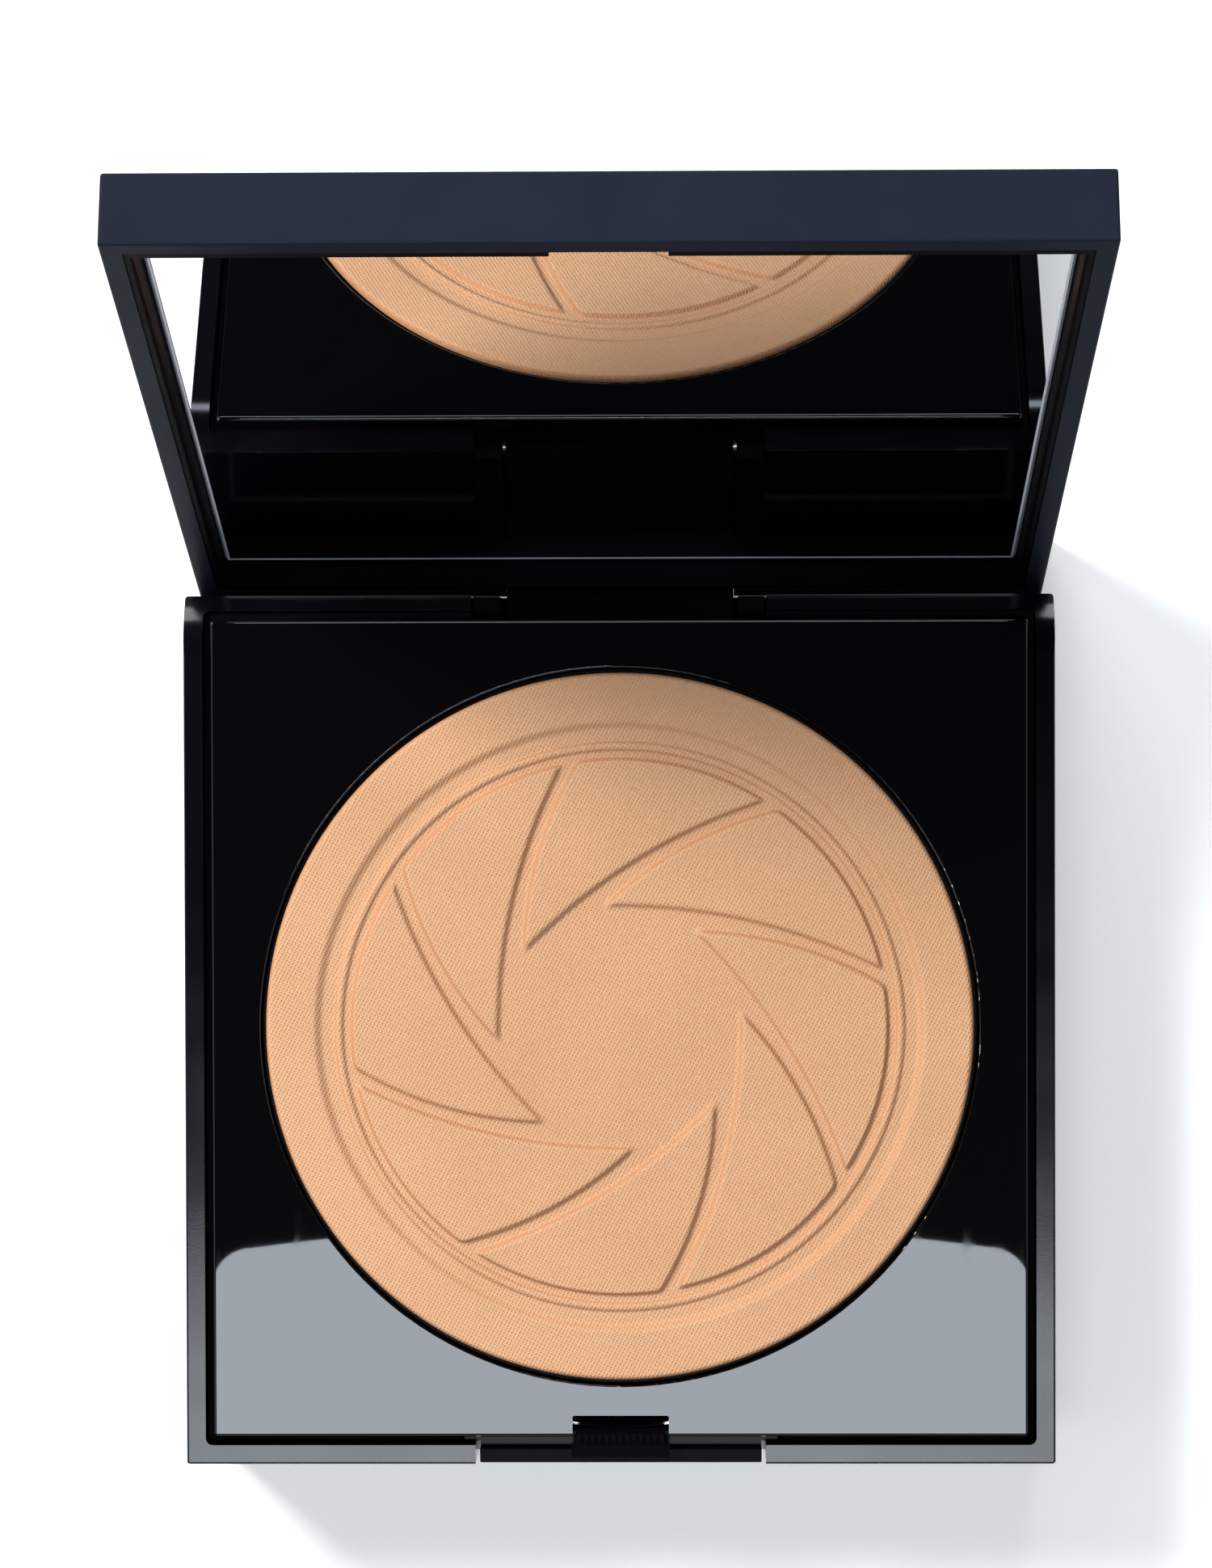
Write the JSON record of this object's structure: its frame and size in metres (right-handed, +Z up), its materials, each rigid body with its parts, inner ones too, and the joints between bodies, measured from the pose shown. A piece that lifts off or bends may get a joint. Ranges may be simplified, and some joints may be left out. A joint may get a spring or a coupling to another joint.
{
  "type": "powder compact",
  "caption": "Square pressed powder compact with a mirrored lid, a gloss black tray, and a front push button that releases the catch.",
  "frame": {"origin": "centre of the underside of the base, on the table", "axes": "+Z up, +X to the user's right, +Y from the push button to the hinge"},
  "size_m": [0.073, 0.1022, 0.0708],
  "materials": {
    "case_satin": "satin black with a navy cast, moulded",
    "lid_satin": "satin navy-black, moulded",
    "inner_black": "fine matt black moulding",
    "tray_gloss": "high-gloss black",
    "button_gloss": "gloss black",
    "pin_steel": "drawn wire",
    "spring_steel": "blued strip",
    "glue_pad": "soft pressure-sensitive pad",
    "pan_tin": "thin drawn sheet, lacquered black",
    "pressed_powder": "pressed powder with a cloth print and a raised relief",
    "mirror_glass": "silvered glass with a ground edge",
    "foam_tape": "double-sided tape"
  },
  "bodies": {
    "base": {"base_shell": "case_satin", "base_chassis": "inner_black", "hinge_pin": "pin_steel", "button_spring": "spring_steel", "inner_tray": "tray_gloss", "pan_glue": "glue_pad", "powder_pan": "pan_tin", "powder_cake": "pressed_powder"},
    "button": {"push_button": "button_gloss", "latch_catch": "inner_black"},
    "lid": {"lid_shell": "lid_satin", "lid_frame": "inner_black", "mirror": "mirror_glass", "mirror_tape": "foam_tape"}
  },
  "joints": [
    {"name": "lid_hinge", "type": "hinge", "parent": "base", "child": "lid", "pos_m": [0, 0.0315, 0.0089], "axis": [-1, 0, 0], "range_deg": [-109, 0]},
    {"name": "button_slide", "type": "slide", "parent": "base", "child": "button", "axis": [0, 1, 0], "range_m": [0, 0.001], "stiffness_N_per_m": 1500, "springref_m": -0.001, "deforming": ["button_spring"]}
  ]
}
